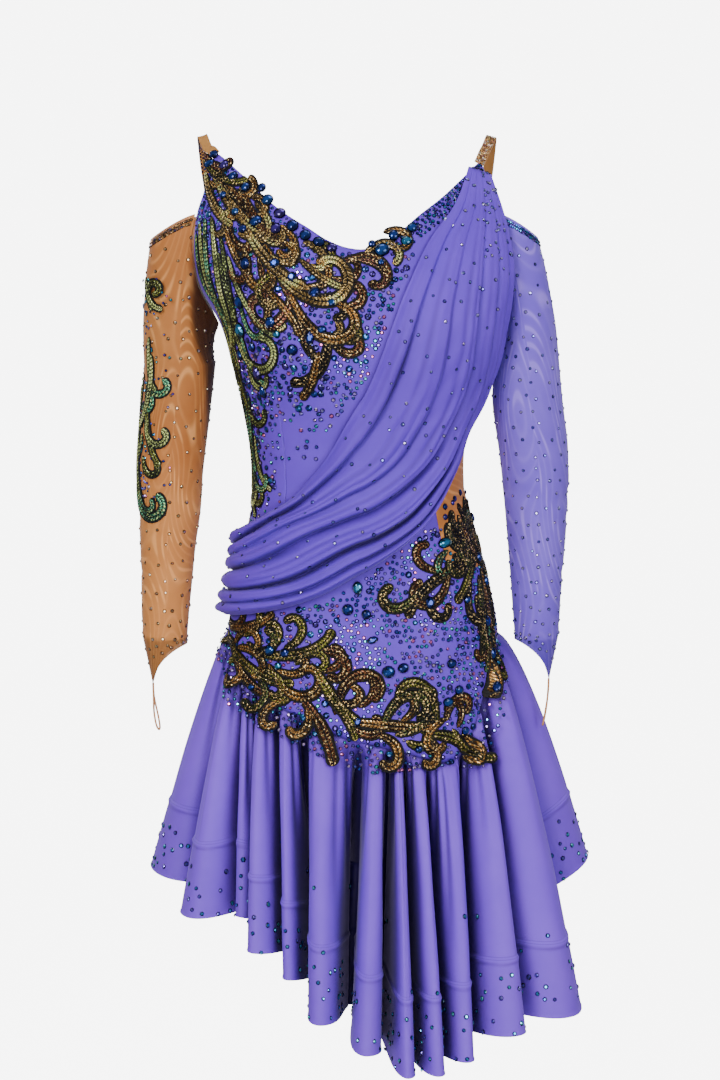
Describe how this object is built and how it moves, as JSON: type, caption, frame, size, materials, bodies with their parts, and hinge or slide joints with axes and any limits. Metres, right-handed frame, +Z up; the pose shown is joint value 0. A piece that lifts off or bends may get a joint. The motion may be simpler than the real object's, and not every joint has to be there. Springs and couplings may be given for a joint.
{
  "type": "salsa dance dress",
  "caption": "Fitted dance dress with a draped sash, sheer off-the-shoulder sleeves, a fluted skirt with a slanting hem, and sequinned scroll appliques.",
  "frame": {"origin": "on the wearer's shoulders, midway between the tops of the two straps", "axes": "+Z up, the front faces -Y, +X is the wearer's left"},
  "size_m": [0.5015, 0.4836, 0.9699],
  "materials": {
    "violet_knit": "stretch crepe knit with a soft sheen",
    "violet_mesh": "fine stretch mesh",
    "skin_mesh": "fine stretch mesh, skin coloured",
    "sequins_gold": "rows of gold and bronze sequins with black edges",
    "sequins_olive": "rows of olive and teal sequins with black edges",
    "strap_stones": "cloth strip covered with gold stones",
    "elastic": "covered elastic cord",
    "stones": "faceted blue, violet and aqua stones with foiled backs"
  },
  "bodies": {
    "root": {"applique_bust": "sequins_gold", "applique_hip_front": "sequins_gold", "applique_hip_left": "sequins_gold", "applique_side": "sequins_olive", "applique_sleeve": "sequins_olive", "back_panel": "violet_knit", "drape_sash": "violet_knit", "finger_loop_left": "elastic", "finger_loop_right": "elastic", "front_panel": "violet_knit", "side_front_left": "violet_knit", "side_front_right": "violet_knit", "side_hip_left": "violet_knit", "skirt_back": "violet_knit", "skirt_front": "violet_knit", "sleeve_left": "violet_mesh", "sleeve_right": "skin_mesh", "strap_left": "strap_stones", "strap_right": "strap_stones", "waist_insert": "skin_mesh"}
  },
  "joints": []
}
